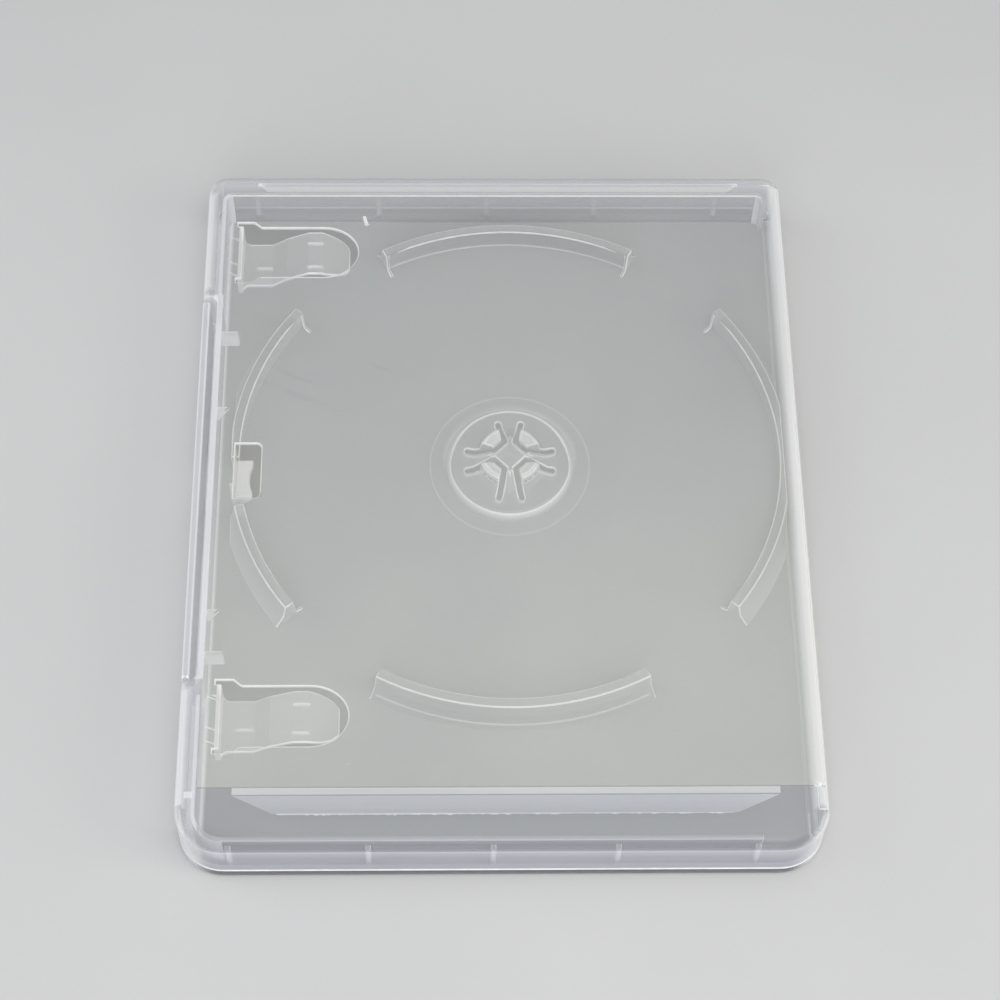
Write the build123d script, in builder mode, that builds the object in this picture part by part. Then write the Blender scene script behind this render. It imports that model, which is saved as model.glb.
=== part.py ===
from build123d import *

import os
from math import asin, cos, degrees, radians, sin

# Clear disc case for one 120 mm disc, lying closed on its back cover.
# Millimetres. Origin: centre of the underside. +X to the spine, -X to the opening edge,
# -Y to the header end with its large corners, +Y to the foot end, +Z up.

# Case body
case_width = 136.0
case_length = 171.5
case_thickness = 15.0
plate = 1.2
wall = 1.3
header_corner = 10.0
foot_corner = 4.5
least_corner = 0.3
edge_round = 2.4
under_round = 1.0
rim_height = 3.4
parting_gap = 0.2

# Spine and its two living hinges, folded at rest
hinge_round = 2.4
web = 0.45
web_taper = 1.0
fold_split = 1.5
spine_thickness = 1.2
spine_taper = 2.0
spine_header_margin = 8.5
spine_foot_margin = 3.1
spine_end_gap = 0.3

# Clear film sleeve, seated flush in the covers and the spine
film = 0.15
film_seat = 0.2
film_gap = 0.02
film_edge_gap = 0.1
film_header_margin = 13.6
film_foot_margin = 3.3
film_side_margin = 4.7

# Finger notch in the opening edge
notch_depth = 3.4
notch_length = 98.0
notch_shift = 2.0
notch_corner = 2.0
notch_round = 0.9
finger_wall = 1.7
finger_height = 13.6
finger_round = 0.7
finger_end_gap = 0.8

# Inner wall of the back cover and its centring ribs
inner_wall = 1.0
inner_inset = 3.15
inner_height = 12.0
inner_corner = 2.4
inner_foot_margin = 3.0
inner_header_stop = 14.0
notch_clearance = 1.0
rib_width = 1.2
rib_depth = 1.2
rib_height = 9.6
rib_shift = -1.9
rib_offsets = (-55.0, -26.0, 0.0, 26.0, 55.0)

# Disc hub
hub_shift_x = 2.85
hub_shift_y = 13.3
hub_radius = 14.8
hub_slope = 1.4
hub_seat_height = 3.4
hub_skin = 1.1
dome_radius = 8.6
button_radius = 4.2
button_height = 6.2
finger_radius = 7.45
finger_top = 6.9
finger_arc = 49.0
slot_width = 1.25
slot_inner = (1.25, 3.6)
slot_outer = (2.6, 9.7)
pad_radius = 18.5
pad_height = 0.15
cross_width = 0.5
cross_depth = 0.15

# Arcs that guard the disc's edge
disc_radius = 60.0
disc_clearance = 1.3
arc_draft = 0.3
arc_height = 7.0
arc_top_width = 2.3
arc_foot_width = 2.8
arc_knee_width = 0.8
arc_knee_height = 3.4
arc_core_skin = 0.9
arc_half_long = 38.5
arc_half_short = 28.0
arc_left_limit = 7.6
arc_right_limit = 2.8
arc_root = 0.5
spur_reach = 2.6
spur_width = 0.8
latch_bay_gap = 1.2

# Booklet clips in the front cover: low neck, crest up in the window, tip turned down again
clip_root_margin = 8.8
clip_shift = 3.8
clip_pitch = 119.0
clip_drop = 4.2
clip_thickness = 1.0
clip_bend = 1.5
post_thickness = 1.2
post_half = 7.5
window_root_half = 8.4
window_root_depth = 2.4
window_shoulder = 1.8
window_half = 6.9
window_reach = 18.8
window_tip_length = 8.1
relief_reach = 1.3
tab_half = 5.95
tab_tip_half = 2.3
tab_tip_length = 7.0
clip_reach = 25.0
ramp_reach = 6.8
knee_reach = 10.2
knee_rise = 2.6
crest_start_reach = 15.4
crest_end_reach = 18.4
crest_depth = 0.2
tip_drop = 2.9
grip_length = 4.0
grip_width = 0.6
grip_height = 0.4
grip_spacing = 6.6
neck_grip_shift = -0.35
neck_grip_reach = 4.8
gusset_length = 1.8
gusset_drop = 1.6
gusset_width = 0.8
gusset_offsets = (5.0, -2.0, -5.2)

# Latch
latch_margin = 8.1
latch_thickness = 1.2
latch_length = 9.6
latch_shift = 6.2
latch_low = 3.9
barb_reach = 3.5
barb_top = 7.7
barb_lead = 2.3
barb_hollow = 0.7
latch_window_width = 5.8
latch_window_length = 13.9
latch_window_shift = 4.15
latch_window_corner = 1.2

# Booklet stops and stiffeners under the front plate
stop_shift = 0.8
stop_length = 114.4
near_stop_margin = 12.35
near_stop_thickness = 1.6
near_stop_low = 3.9
near_stop_slope = 7.8
far_stop_margin = 1.75
far_stop_thickness = 1.0
far_stop_low = 10.4
far_stop_slope = 3.0
stiffener_length = 4.0
stiffener_width = 1.0
stiffener_low = 9.0
stiffener_places = (-40.5, 41.2)
brace_length = 2.6
brace_places = (-30.5, 20.8)

# Moulding gate stubs under the front plate
gate_length = 3.6
gate_width = 1.4
gate_turn = 105.0
gates = ((-30.7, 73.6, 0.9), (-32.8, -64.6, 0.3))

# Worked out from the sizes above
left = -case_width / 2
right = case_width / 2
header = -case_length / 2
foot = case_length / 2
cover_low = rim_height + parting_gap
cover_under = case_thickness - plate
fold_x = right - hinge_round
upper_fold = (fold_x, case_thickness - hinge_round)
lower_fold = (fold_x, hinge_round)
skin_radius = hinge_round - film_seat
fold_arc = 45.0 - fold_split
spine_start = header + spine_header_margin
spine_end = foot - spine_foot_margin
film_start = header + film_header_margin
film_end = foot - film_foot_margin
film_left = left + film_side_margin
notch_face = left + notch_depth
clip_root = left + clip_root_margin
neck_top = cover_under - clip_drop
crest_top = case_thickness - film_seat - crest_depth
clip_centres = (clip_shift - clip_pitch / 2, clip_shift + clip_pitch / 2)
latch_face = left + latch_margin + latch_thickness
latch_start = latch_shift - latch_length / 2
latch_end = latch_shift + latch_length / 2
arc_radius = disc_radius + disc_clearance
arc_top_radius = arc_radius + arc_top_width
arc_foot_radius = arc_top_radius + arc_foot_width
hub_axis = Axis((hub_shift_x, hub_shift_y, 0), (0, 0, 1))


def case_outline(inset, least=least_corner):
    """Plan of the closed case, drawn inset from its outer edge, its corners no tighter than least."""
    with BuildSketch() as plan:
        Rectangle(case_width - 2 * inset, case_length - 2 * inset)
        fillet(plan.vertices().group_by(Axis.Y)[0], max(header_corner - inset, least))
        fillet(plan.vertices().group_by(Axis.Y)[-1], max(foot_corner - inset, least))
    return plan.sketch


def notch_outline(margin):
    """Plan of the finger notch, grown by margin on its three inner sides."""
    with BuildSketch() as plan:
        with Locations((left, notch_shift)):
            Rectangle(2 * (notch_depth + margin), notch_length + 2 * margin)
        fillet(plan.vertices().group_by(Axis.X)[-1], notch_corner + margin)
    return plan.sketch


def bay_outline(length_start, length_end):
    """Plan of the strip along the spine between two places on its length."""
    with BuildSketch() as plan:
        with Locations((fold_x, (length_start + length_end) / 2)):
            Rectangle(2 * hinge_round, length_end - length_start, align=(Align.MIN, Align.CENTER))
    return plan.sketch


def seat_outline(gap):
    """Plan of one film panel from its free edge to the hinge, grown by gap."""
    with BuildSketch() as plan:
        with Locations((fold_x, (film_start + film_end) / 2)):
            panel = (fold_x - film_left + gap, film_end - film_start + 2 * gap)
            Rectangle(*panel, align=(Align.MAX, Align.CENTER))
    return plan.sketch


def cross_plane(place):
    """Plane across the case at one place on its length, extruding towards the header."""
    return Plane.XZ.offset(-place)


def radial_plane(angle):
    """Upright plane out from the hub's axis at an angle from +X."""
    turn = radians(angle)
    out = (cos(turn), sin(turn), 0)
    return Plane(origin=hub_axis.position, x_dir=out, z_dir=(sin(turn), -cos(turn), 0))


def fold_section(centre, inner, outer, start):
    """Section of one half of a folded hinge."""
    with BuildSketch() as section:
        with BuildLine():
            rim = CenterArc(centre, outer, start, fold_arc)
            bore = CenterArc(centre, inner, start, fold_arc)
            Line(rim @ 0, bore @ 0)
            Line(rim @ 1, bore @ 1)
        make_face()
    return section.sketch


def straight_section(*points):
    """Closed section with straight sides."""
    with BuildSketch() as section:
        with BuildLine():
            Polyline(*points, close=True)
        make_face()
    return section.sketch


def stop_section(low, slope):
    """Booklet stop seen along the case: a long plate with slanted ends."""
    half = stop_length / 2
    return straight_section(
        (stop_shift - half, cover_under),
        (stop_shift + half, cover_under),
        (stop_shift + half - slope, low),
        (stop_shift - half + slope, low),
    )


def clip_window(middle):
    """Opening in the front plate over one booklet clip."""
    shoulder = clip_root + window_root_depth
    tongue = shoulder + window_shoulder
    bend = clip_root + window_reach
    relief = window_root_half - post_half
    with BuildSketch() as window:
        with BuildLine():
            Polyline(
                (bend, middle + window_half),
                (tongue, middle + window_half),
                (shoulder, middle + window_root_half),
                (clip_root, middle + window_root_half),
                (clip_root, middle - window_root_half),
                (shoulder, middle - window_root_half),
                (tongue, middle - window_half),
                (bend, middle - window_half),
            )
            EllipticalCenterArc((bend, middle), window_tip_length, window_half, -90, arc_size=180)
        make_face()
        for side in (-1, 1):
            with Locations((clip_root, middle + side * (post_half + relief / 2))):
                Rectangle(2 * relief_reach, relief)
    return window.sketch


def clip_plan():
    """Spring tab of a booklet clip, seen from above, its middle on the X axis."""
    root = clip_root - post_thickness
    flank = post_half - tab_half
    tip = clip_root + clip_reach
    corner = tip - tab_tip_length
    tip_round = tab_half - tab_tip_half
    with BuildSketch() as plan:
        with BuildLine():
            Line((root, -post_half), (root, post_half))
            Line((tip, -tab_tip_half), (tip, tab_tip_half))
            for side in (-1, 1):
                shoulder = (clip_root, side * post_half)
                waist = (clip_root + flank, side * tab_half)
                Line((root, side * post_half), shoulder)
                RadiusArc(shoulder, waist, -side * flank)
                Line(waist, (corner, side * tab_half))
            EllipticalCenterArc((corner, tab_tip_half), tab_tip_length, tip_round)
            EllipticalCenterArc((corner, -tab_tip_half), tab_tip_length, tip_round, -90)
        make_face()
    return plan.sketch


def clip_profile():
    """Side view of a booklet clip's tab: neck, bent ramp, crest and turned-down tip."""
    root = clip_root - post_thickness
    top = (
        (root, neck_top),
        (clip_root + ramp_reach, neck_top),
        (clip_root + knee_reach, neck_top + knee_rise),
        (clip_root + crest_start_reach, crest_top),
        (clip_root + crest_end_reach, crest_top),
        (clip_root + clip_reach, crest_top - tip_drop),
    )
    under = [(x, z - clip_thickness) for x, z in reversed(top)]
    with BuildSketch() as profile:
        add(straight_section(*top, *under))
        inner = [v for v in profile.vertices() if root < v.X < clip_root + clip_reach]
        fillet(inner, clip_bend)
    return profile.sketch


with BuildPart() as clip:
    with BuildSketch(Plane.XZ):
        add(clip_profile())
    extrude(amount=post_half, both=True)
    with BuildSketch():
        add(clip_plan())
    extrude(amount=case_thickness, mode=Mode.INTERSECT)
    with BuildSketch(Plane.XY.offset(neck_top - clip_thickness)):
        with Locations((clip_root, 0)):
            Rectangle(post_thickness, 2 * post_half, align=(Align.MAX, Align.CENTER))
    extrude(amount=cover_under + plate / 2 - neck_top + clip_thickness)
    with BuildSketch(Plane.XY.offset(neck_top - clip_thickness - grip_height)):
        with Locations((clip_root + neck_grip_reach, neck_grip_shift)):
            Rectangle(grip_length, grip_width)
    extrude(amount=clip_thickness)
    with BuildSketch(Plane.XY.offset(crest_top - clip_thickness - grip_height)):
        with Locations((clip_root + (crest_start_reach + crest_end_reach) / 2, 0)):
            with GridLocations(grip_length, grip_spacing, 1, 2):
                Rectangle(grip_length, grip_width)
    extrude(amount=clip_thickness)
    for shift in gusset_offsets:
        heel = clip_root - post_thickness
        with BuildSketch(cross_plane(shift)):
            add(
                straight_section(
                    (clip_root, cover_under),
                    (heel - gusset_length, cover_under),
                    (heel, cover_under - gusset_drop),
                    (clip_root, cover_under - gusset_drop),
                )
            )
        extrude(amount=gusset_width / 2, both=True)


# Front cover: a shallow tray turned over, with the clips, latch and stops moulded in its plate
cover_plan = case_outline(0)
cover_pocket = case_outline(wall)
notch_plan = notch_outline(0)
notch_shell = notch_outline(wall)
spine_bay = bay_outline(spine_start - spine_end_gap, spine_end + spine_end_gap)
film_recess = seat_outline(film_edge_gap)
web_length = spine_end - spine_start

with BuildPart() as front_cover:
    with BuildSketch(Plane.XY.offset(cover_low)):
        add(cover_plan)
    extrude(amount=case_thickness - cover_low)
    fillet(front_cover.faces().sort_by(Axis.Z)[-1].edges(), edge_round)
    with BuildSketch(Plane.XY.offset(cover_low)):
        add(notch_plan)
    extrude(amount=case_thickness, mode=Mode.SUBTRACT)
    notch_lip = front_cover.edges().filter_by(Axis.Y).filter_by_position(Axis.X, notch_face, notch_face)
    fillet(notch_lip.sort_by(Axis.Z)[-1], notch_round)
    with BuildSketch(Plane.XY.offset(cover_low)):
        add(cover_pocket)
        add(notch_shell, mode=Mode.SUBTRACT)
    extrude(amount=cover_under - cover_low, mode=Mode.SUBTRACT)

    # Open side towards the spine, with the plate thinned down to the hinge web
    with BuildSketch(Plane.XY.offset(cover_low)):
        add(spine_bay)
    extrude(amount=case_thickness, mode=Mode.SUBTRACT)
    web_under = upper_fold[1] + skin_radius - web
    with BuildSketch(cross_plane(spine_end)):
        thinned = ((fold_x - web_taper, cover_under), (fold_x, cover_under), (fold_x, web_under))
        add(straight_section(*thinned))
    extrude(amount=web_length, mode=Mode.SUBTRACT)
    with BuildSketch(cross_plane(spine_end)):
        add(fold_section(upper_fold, skin_radius - web, skin_radius, 90 - fold_arc))
    extrude(amount=web_length)
    with BuildSketch(Plane.XY.offset(case_thickness - film_seat)):
        add(film_recess)
    extrude(amount=film_seat, mode=Mode.SUBTRACT)

    # Booklet clips: a window in the plate, and the clip sprung in it
    for middle in clip_centres:
        with BuildSketch(Plane.XY.offset(cover_under)):
            add(clip_window(middle))
        extrude(amount=plate, mode=Mode.SUBTRACT)
        with Locations((0, middle, 0)):
            add(clip.part)

    # Latch: window in the plate, tongue hanging at its edge, barb turned inwards
    with BuildSketch(Plane.XY.offset(cover_under)) as latch_window:
        with Locations((latch_face, latch_window_shift)):
            Rectangle(latch_window_width, latch_window_length, align=(Align.MIN, Align.CENTER))
        fillet(latch_window.vertices().group_by(Axis.X)[-1], latch_window_corner)
    extrude(amount=plate, mode=Mode.SUBTRACT)
    with BuildSketch(cross_plane(latch_end)):
        add(
            straight_section(
                (latch_face - latch_thickness, cover_under),
                (latch_face, cover_under),
                (latch_face, barb_top),
                (latch_face + barb_reach, barb_top),
                (latch_face + barb_reach, latch_low + barb_lead),
                (latch_face + barb_reach - barb_lead, latch_low),
                (latch_face - latch_thickness, latch_low),
            )
        )
    extrude(amount=latch_length)
    with BuildSketch(Plane.XY.offset(latch_low)):
        with BuildLine():
            tip = latch_face + barb_reach
            face = Line((tip, latch_start + latch_thickness), (tip, latch_end - latch_thickness))
            ThreePointArc(face @ 0, (tip - barb_hollow, latch_shift), face @ 1)
        make_face()
    extrude(amount=barb_top - latch_low, mode=Mode.SUBTRACT)

    # Booklet stops at the header and at the foot
    with BuildSketch(cross_plane(header + near_stop_margin + near_stop_thickness)):
        add(stop_section(near_stop_low, near_stop_slope))
    extrude(amount=near_stop_thickness)
    with BuildSketch(cross_plane(foot - far_stop_margin)):
        add(stop_section(far_stop_low, far_stop_slope))
    extrude(amount=far_stop_thickness)

    # Stiffeners and braces behind the notch wall
    brace_root = notch_face + wall
    for place in stiffener_places:
        with BuildSketch(cross_plane(place)):
            with Locations((notch_face, stiffener_low)):
                stiffener = (wall + stiffener_length, cover_under - stiffener_low)
                Rectangle(*stiffener, align=(Align.MIN, Align.MIN))
        extrude(amount=stiffener_width / 2, both=True)
    for place in brace_places:
        with BuildSketch(cross_plane(place)):
            add(
                straight_section(
                    (notch_face, cover_under),
                    (brace_root + brace_length, cover_under),
                    (brace_root, stiffener_low),
                    (notch_face, stiffener_low),
                )
            )
        extrude(amount=stiffener_width / 2, both=True)

    # Gate stubs left by the moulding
    for gate_x, gate_y, gate_drop in gates:
        with BuildSketch(Plane.XY.offset(cover_under)):
            with Locations((gate_x, gate_y)):
                SlotOverall(gate_length, gate_width, rotation=gate_turn)
        extrude(amount=-gate_drop)


# Back cover: plate with a low rim, inner wall, finger wall, disc hub and disc arcs
def arc_section():
    """Section of a disc arc, with a steep inner face and a hollow outer slope."""
    return straight_section(
        (arc_foot_radius, plate),
        (arc_foot_radius, arc_root),
        (arc_radius + arc_draft, arc_root),
        (arc_radius, arc_height),
        (arc_top_radius, arc_height),
        (arc_top_radius + arc_knee_width, arc_knee_height),
    )


def core_section():
    """Section of the groove that cores an arc from below."""
    inner = arc_radius + arc_draft + arc_core_skin
    crown = arc_height - arc_core_skin
    return straight_section(
        (inner, 0),
        (inner, crown),
        (arc_top_radius - arc_core_skin / 2, crown),
        (arc_foot_radius - 2 * arc_core_skin, 0),
    )


def spur_section():
    """Section of the fin that runs inwards from the end of an arc."""
    foot_radius = arc_radius + arc_draft
    return straight_section(
        (foot_radius - spur_reach, arc_root),
        (foot_radius - spur_reach, plate),
        (foot_radius - spur_reach / 3, plate + spur_reach / 3),
        (arc_radius, arc_height),
        (arc_radius + spur_width, arc_height),
        (arc_radius + spur_width, arc_root),
    )


def bay_angle(place):
    """Angle about the hub at which the left arc reaches a place on the case's length."""
    return 180 + degrees(asin((hub_shift_y - place) / arc_radius))


bay_start = bay_angle(latch_end + latch_bay_gap)
bay_end = bay_angle(latch_start - latch_bay_gap)
cored_arcs = (
    (90 - arc_half_short, 90 + arc_half_short),
    (270 - arc_half_short, 270 + arc_half_short),
)
side_arcs = (
    (-arc_half_long, arc_half_long),
    (180 - arc_half_long, bay_start),
    (bay_end, 180 + arc_half_long),
)
spur_starts = (90 - arc_half_short, 270 - arc_half_short, -arc_half_long, 180 - arc_half_long)
spur_ends = (90 + arc_half_short, 270 + arc_half_short, arc_half_long, 180 + arc_half_long)
core_margin = degrees(arc_core_skin / arc_radius)

with BuildPart() as disc_arcs:
    for arc_start, arc_end in cored_arcs + side_arcs:
        with BuildSketch(radial_plane(arc_start)):
            add(arc_section())
        revolve(axis=hub_axis, revolution_arc=arc_end - arc_start)
    for angle in spur_starts:
        with BuildSketch(radial_plane(angle)):
            add(spur_section())
        extrude(amount=-spur_width)
    for angle in spur_ends:
        with BuildSketch(radial_plane(angle)):
            add(spur_section())
        extrude(amount=spur_width)
    split(bisect_by=Plane.YZ.offset(left + arc_left_limit), keep=Keep.TOP)
    split(bisect_by=Plane.YZ.offset(right - arc_right_limit), keep=Keep.BOTTOM)

inner_outer = case_outline(inner_inset, inner_corner)
inner_inner = case_outline(inner_inset + inner_wall, inner_corner - inner_wall)

with BuildPart() as back_cover:
    with BuildSketch():
        add(cover_plan)
    extrude(amount=rim_height)
    fillet(back_cover.faces().sort_by(Axis.Z)[0].edges(), under_round)
    with BuildSketch(Plane.XY.offset(plate)):
        add(cover_pocket)
    extrude(amount=rim_height, mode=Mode.SUBTRACT)

    # Finger wall that fills the notch of the front cover
    finger_length = notch_length - 2 * finger_end_gap
    with BuildSketch(Plane.XY.offset(plate)):
        with Locations((left, notch_shift)):
            Rectangle(finger_wall, finger_length, align=(Align.MIN, Align.CENTER))
    extrude(amount=finger_height - plate)
    fillet(back_cover.faces().sort_by(Axis.Z)[-1].edges(), finger_round)

    # Inner wall: open at the notch and along the spine
    clear_length = notch_length + 2 * (wall + notch_clearance)
    with BuildSketch(Plane.XY.offset(plate)):
        add(inner_outer)
        add(inner_inner, mode=Mode.SUBTRACT)
        with Locations((left, notch_shift)):
            Rectangle(case_width, clear_length, mode=Mode.SUBTRACT)
        with Locations((right, 0)):
            Rectangle(2 * inner_foot_margin, case_length, mode=Mode.SUBTRACT)
        with Locations((right, foot - 2 * inner_inset)):
            open_side = (2 * inner_header_stop, case_length)
            Rectangle(*open_side, align=(Align.CENTER, Align.MAX), mode=Mode.SUBTRACT)
    extrude(amount=inner_height - plate)
    for offset_x in rib_offsets:
        for end, side in ((header + inner_inset, Align.MAX), (foot - inner_inset, Align.MIN)):
            with BuildSketch(Plane.XY.offset(plate)):
                with Locations((rib_shift + offset_x, end)):
                    Rectangle(rib_width, rib_depth, align=(Align.CENTER, side))
            extrude(amount=rib_height - plate)

    # Open side towards the spine, with the plate thinned down to the hinge web
    with BuildSketch():
        add(spine_bay)
    extrude(amount=rim_height, mode=Mode.SUBTRACT)
    web_over = lower_fold[1] - skin_radius + web
    with BuildSketch(cross_plane(spine_end)):
        thinned = ((fold_x - web_taper, plate), (fold_x, plate), (fold_x, web_over))
        add(straight_section(*thinned))
    extrude(amount=web_length, mode=Mode.SUBTRACT)
    with BuildSketch(cross_plane(spine_end)):
        add(fold_section(lower_fold, skin_radius - web, skin_radius, -90))
    extrude(amount=web_length)

    # Disc arcs, those at the header and the foot cored from below
    add(disc_arcs.part)
    for arc_start, arc_end in cored_arcs:
        with BuildSketch(radial_plane(arc_start + core_margin)):
            add(core_section())
        revolve(axis=hub_axis, revolution_arc=arc_end - arc_start - 2 * core_margin, mode=Mode.SUBTRACT)

    # Hub: raised seat, domed button on four arms and four sprung fingers, cut from one skin
    hub_top = hub_radius - hub_slope
    with BuildSketch(Plane.XY.offset(plate)):
        with Locations((hub_shift_x, hub_shift_y)):
            Circle(pad_radius)
    extrude(amount=pad_height)
    with BuildSketch():
        with Locations((hub_shift_x, hub_shift_y)):
            Circle(hub_radius)
    extrude(amount=plate + pad_height, mode=Mode.SUBTRACT)
    with BuildSketch(radial_plane(0)):
        add(
            straight_section(
                (hub_radius, 0),
                (hub_radius, plate + pad_height),
                (hub_top, hub_seat_height),
                (dome_radius, hub_seat_height),
                (button_radius, button_height),
                (0, button_height),
                (0, button_height - hub_skin),
                (button_radius - hub_skin / 3, button_height - hub_skin),
                (dome_radius - hub_skin / 3, hub_seat_height - hub_skin),
                (hub_top - hub_skin, hub_seat_height - hub_skin),
                (hub_radius - hub_skin, 0),
            )
        )
    revolve(axis=hub_axis)
    for quarter in range(4):
        with BuildSketch(radial_plane(90 * quarter + 45 - finger_arc / 2)):
            add(
                straight_section(
                    (finger_radius, hub_seat_height),
                    (finger_radius, hub_seat_height + hub_skin),
                    (finger_radius - hub_skin / 3, finger_top - hub_skin / 4),
                    (finger_radius - hub_skin, finger_top),
                    (button_radius + hub_skin, finger_top - hub_skin / 4),
                    (button_radius, button_height),
                    (button_radius, button_height - hub_skin / 2),
                )
            )
        revolve(axis=hub_axis, revolution_arc=finger_arc)
    for quarter in range(4):
        turned = Plane(
            origin=hub_axis.position,
            x_dir=radial_plane(90 * quarter).x_dir,
            z_dir=(0, 0, 1),
        )
        with BuildSketch(turned):
            with BuildLine():
                Polyline(slot_outer[::-1], slot_inner[::-1], slot_inner, slot_outer)
            trace(line_width=slot_width)
            with Locations(slot_outer, slot_outer[::-1]):
                Circle(slot_width / 2)
        extrude(amount=case_thickness, mode=Mode.SUBTRACT)
    with BuildSketch(Plane.XY.offset(button_height - cross_depth)):
        with Locations((hub_shift_x, hub_shift_y)):
            Rectangle(2 * button_radius, cross_width)
            Rectangle(cross_width, 2 * button_radius)
    extrude(amount=cross_depth, mode=Mode.SUBTRACT)

    with BuildSketch():
        add(film_recess)
    extrude(amount=film_seat, mode=Mode.SUBTRACT)


# Spine: a plain strip that thins to a hinge web along both edges
with BuildPart() as spine:
    skin_x = right - film_seat
    web_x = skin_x - web
    inside_x = skin_x - spine_thickness
    with BuildSketch(cross_plane(spine_end)):
        add(
            straight_section(
                (skin_x, lower_fold[1]),
                (skin_x, upper_fold[1]),
                (web_x, upper_fold[1]),
                (inside_x, upper_fold[1] - spine_taper),
                (inside_x, lower_fold[1] + spine_taper),
                (web_x, lower_fold[1]),
            )
        )
        add(fold_section(upper_fold, skin_radius - web, skin_radius, 0))
        add(fold_section(lower_fold, skin_radius - web, skin_radius, -fold_arc))
    extrude(amount=web_length)


# Film sleeve: one clear sheet round the case, parted where the hinges fold
film_plan = seat_outline(0)
film_inner = skin_radius + film_gap
film_outer = film_inner + film
film_length = film_end - film_start

with BuildPart() as film_front:
    with BuildSketch(Plane.XY.offset(case_thickness - film_seat + film_gap)):
        add(film_plan)
    extrude(amount=film)
    with BuildSketch(cross_plane(film_end)):
        add(fold_section(upper_fold, film_inner, film_outer, 90 - fold_arc))
    extrude(amount=film_length)

with BuildPart() as film_back:
    with BuildSketch(Plane.XY.offset(film_seat - film_gap)):
        add(film_plan)
    extrude(amount=-film)
    with BuildSketch(cross_plane(film_end)):
        add(fold_section(lower_fold, film_inner, film_outer, -90))
    extrude(amount=film_length)

with BuildPart() as film_spine:
    with BuildSketch(cross_plane(film_end)):
        with Locations((fold_x + film_inner, lower_fold[1])):
            Rectangle(film, upper_fold[1] - lower_fold[1], align=(Align.MIN, Align.MIN))
        add(fold_section(upper_fold, film_inner, film_outer, 0))
        add(fold_section(lower_fold, film_inner, film_outer, -fold_arc))
    extrude(amount=film_length)


os.makedirs("parts", exist_ok=True)
pieces = {
    "front_cover": front_cover,
    "back_cover": back_cover,
    "spine": spine,
    "film_front": film_front,
    "film_back": film_back,
    "film_spine": film_spine,
}
for name, piece in pieces.items():
    piece.part.label = name
    export_step(piece.part, f"parts/{name}.step")
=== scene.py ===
import random
from math import radians

import bmesh
import bpy
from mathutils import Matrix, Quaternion, Vector
from mathutils.bvhtree import BVHTree


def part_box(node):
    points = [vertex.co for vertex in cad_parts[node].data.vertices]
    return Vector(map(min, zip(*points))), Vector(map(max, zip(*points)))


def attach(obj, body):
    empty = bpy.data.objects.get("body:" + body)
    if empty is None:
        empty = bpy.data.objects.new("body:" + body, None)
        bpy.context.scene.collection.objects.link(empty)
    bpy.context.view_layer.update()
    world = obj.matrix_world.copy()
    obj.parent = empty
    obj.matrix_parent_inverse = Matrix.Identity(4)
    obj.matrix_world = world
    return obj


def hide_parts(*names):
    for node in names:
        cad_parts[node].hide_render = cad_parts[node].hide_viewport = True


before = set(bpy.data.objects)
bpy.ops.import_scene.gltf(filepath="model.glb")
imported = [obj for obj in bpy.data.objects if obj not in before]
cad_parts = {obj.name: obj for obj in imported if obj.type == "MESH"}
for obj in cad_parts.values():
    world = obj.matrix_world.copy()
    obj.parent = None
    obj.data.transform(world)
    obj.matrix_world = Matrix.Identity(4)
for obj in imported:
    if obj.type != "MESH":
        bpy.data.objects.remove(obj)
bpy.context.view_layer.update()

MM = 0.001

# Camera, at the photograph's viewing angle
IMAGE_SIDE = 1000.0
SENSOR_WIDTH = 36.0
FOCAL_PIXELS = 2470.93
VIEW_AZIMUTH = radians(-2.335)
VIEW_ELEVATION = radians(60.328)
VIEW_ROLL = radians(1.941)
VIEW_TARGET = Vector((0.557, 4.870, 0.0)) * MM
VIEW_DISTANCE = 563.07 * MM
NEAREST_SEEN = 0.01

# Floor, room light and lamps; a lamp has its place, size, power and tint
FLOOR_SIZE = 6.0
FLOOR_HEIGHT = -0.02 * MM
FLOOR_TINTS = ((0.60, 0.60, 0.595), (0.63, 0.63, 0.625))
FLOOR_ROUGHNESS = 0.85
ROOM_TINT = (0.93, 0.95, 1.0)
ROOM_STRENGTH = 0.33
LAMPS = {
    "overhead_light": ((0.1, -0.35, 1.05), 0.9, 5.6, (1.0, 0.99, 0.965)),
    "right_light": ((0.95, -0.30, 0.45), 0.6, 3.4, (1.0, 0.985, 0.96)),
    "left_light": ((-0.8, 0.1, 0.6), 0.8, 2.1, (0.95, 0.975, 1.0)),
    "front_light": ((-0.1, -1.1, 0.5), 0.8, 4.4, (0.93, 0.94, 1.0)),
}

# Clear surfaces that one line of sight may pass, and bounces of diffuse and glossy light
CLEAR_LAYERS = 48
LIGHT_BOUNCES = 1

# Edge rounding of the moulded pieces
EDGE_WIDTH = 0.28 * MM
EDGE_SEGMENTS = 2
EDGE_SHARE = 0.38
EDGE_ANGLE = radians(35)
LEAST_ROOM = 0.5 * MM
STRAY_DISTANCE = 0.14 * MM
FLAT_ANGLE = radians(0.8)
MERGE_DISTANCE = 0.002 * MM
SMOOTH_ANGLE = radians(32)

# From here to the materials, places and sizes are in millimetres in the case's own frame.
# The lid is the front cover and the base is the back cover.

# Both booklet clips lie this far apart along the case, so one set of places serves the two
CLIP_PITCH = 119.0
CLIP_PLACE = 30.05
HEADER_END = -85.75

# A booklet clip: its span in X, half its width and its post, whose second span is from the header end
CLIP_SPAN = (-60.6, -33.8)
CLIP_HALF = 7.7
CLIP_POST = (((-60.1, -58.9), (CLIP_PLACE - 7.4, CLIP_PLACE + 7.4)),)
POST_FADE = 0.2

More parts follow.
